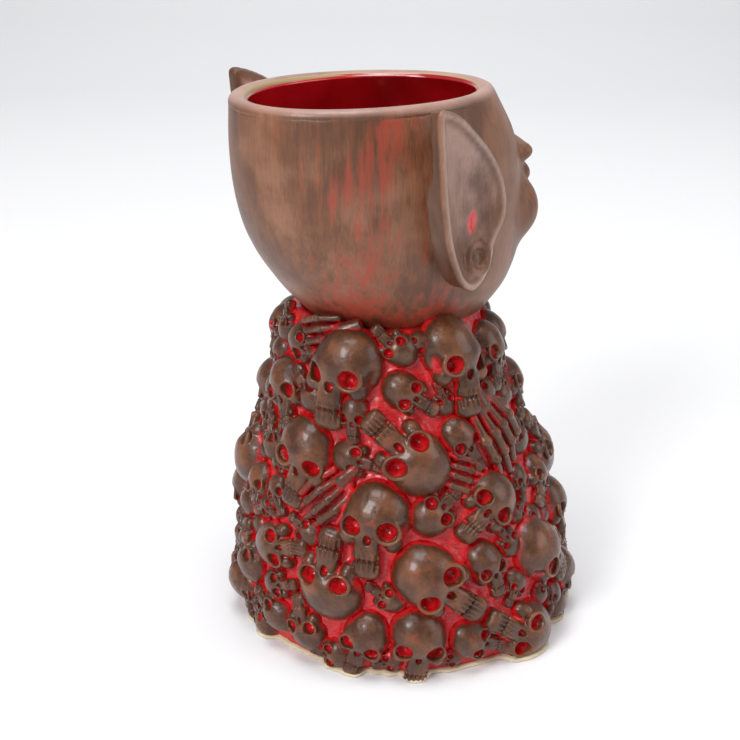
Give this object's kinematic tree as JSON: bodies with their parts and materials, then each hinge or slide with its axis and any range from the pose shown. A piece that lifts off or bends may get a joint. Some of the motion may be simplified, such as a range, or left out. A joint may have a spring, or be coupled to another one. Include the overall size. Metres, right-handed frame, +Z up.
{
  "type": "tiki mug",
  "caption": "Tall ceramic drinking mug: an open pointed-eared head as the bowl, standing on a hollow cone covered in piled skulls and bony hands.",
  "frame": {"origin": "centre of the foot's flat underside, on the ground", "axes": "+Z up to the rim, the face looks towards -Y, the head's right ear is on the -X side"},
  "size_m": [0.132, 0.1272, 0.1905],
  "materials": {
    "brown_stain": "satin brown stain brushed over red, streaked",
    "bare_foot": "unglazed pale cream clay",
    "red_ground": "glossy red glaze with brown rubbed on",
    "neck_band": "red glaze under worn brown stain",
    "cone_glaze": "bright glossy red glaze",
    "head_glaze": "bright glossy red glaze",
    "rim_stain": "satin brown stain, tan line at the inner edge",
    "face_stain": "satin brown stain over red",
    "ear_stain": "satin brown stain, red in the hollow",
    "skull_stain": "dark brown stain with a soft sheen, red in the sockets",
    "hand_stain": "dark brown stain with red between the fingers",
    "small_skull_stain": "dark brown stain worn to red"
  },
  "bodies": {
    "root": {"foot_disc": "bare_foot", "cone_wall": "red_ground", "cone_glaze": "cone_glaze", "neck_collar": "neck_band", "head_bowl": "brown_stain", "head_glaze": "head_glaze", "rim_lip": "rim_stain", "brow_ridge": "face_stain", "nose_ridge": "face_stain", "eye_right": "face_stain", "eye_left": "face_stain", "mouth": "face_stain", "chin": "face_stain", "ear_right": "ear_stain", "ear_left": "ear_stain", "skull_1a": "skull_stain", "skull_1b": "skull_stain", "skull_2a": "skull_stain", "skull_2b": "skull_stain", "skull_3a": "skull_stain", "skull_3b": "skull_stain", "skull_4a": "skull_stain", "skull_4b": "skull_stain", "skull_5a": "skull_stain", "skull_5b": "skull_stain", "skull_6a": "skull_stain", "skull_6b": "skull_stain", "skull_7a": "skull_stain", "skull_7b": "skull_stain", "skull_8a": "skull_stain", "skull_8b": "skull_stain", "skull_9a": "skull_stain", "skull_9b": "skull_stain", "skull_10a": "skull_stain", "skull_10b": "skull_stain", "skull_11a": "skull_stain", "skull_11b": "skull_stain", "skull_12a": "skull_stain", "skull_12b": "skull_stain", "hand_1a": "hand_stain", "hand_1b": "hand_stain", "hand_2a": "hand_stain", "hand_2b": "hand_stain", "hand_3a": "hand_stain", "hand_3b": "hand_stain", "hand_4a": "hand_stain", "hand_4b": "hand_stain", "small_skulls_top_a": "small_skull_stain", "small_skulls_top_b": "small_skull_stain", "small_skulls_upper_a": "small_skull_stain", "small_skulls_upper_b": "small_skull_stain", "small_skulls_lower_a": "small_skull_stain", "small_skulls_lower_b": "small_skull_stain", "small_skulls_bottom_a": "small_skull_stain", "small_skulls_bottom_b": "small_skull_stain"}
  },
  "joints": []
}
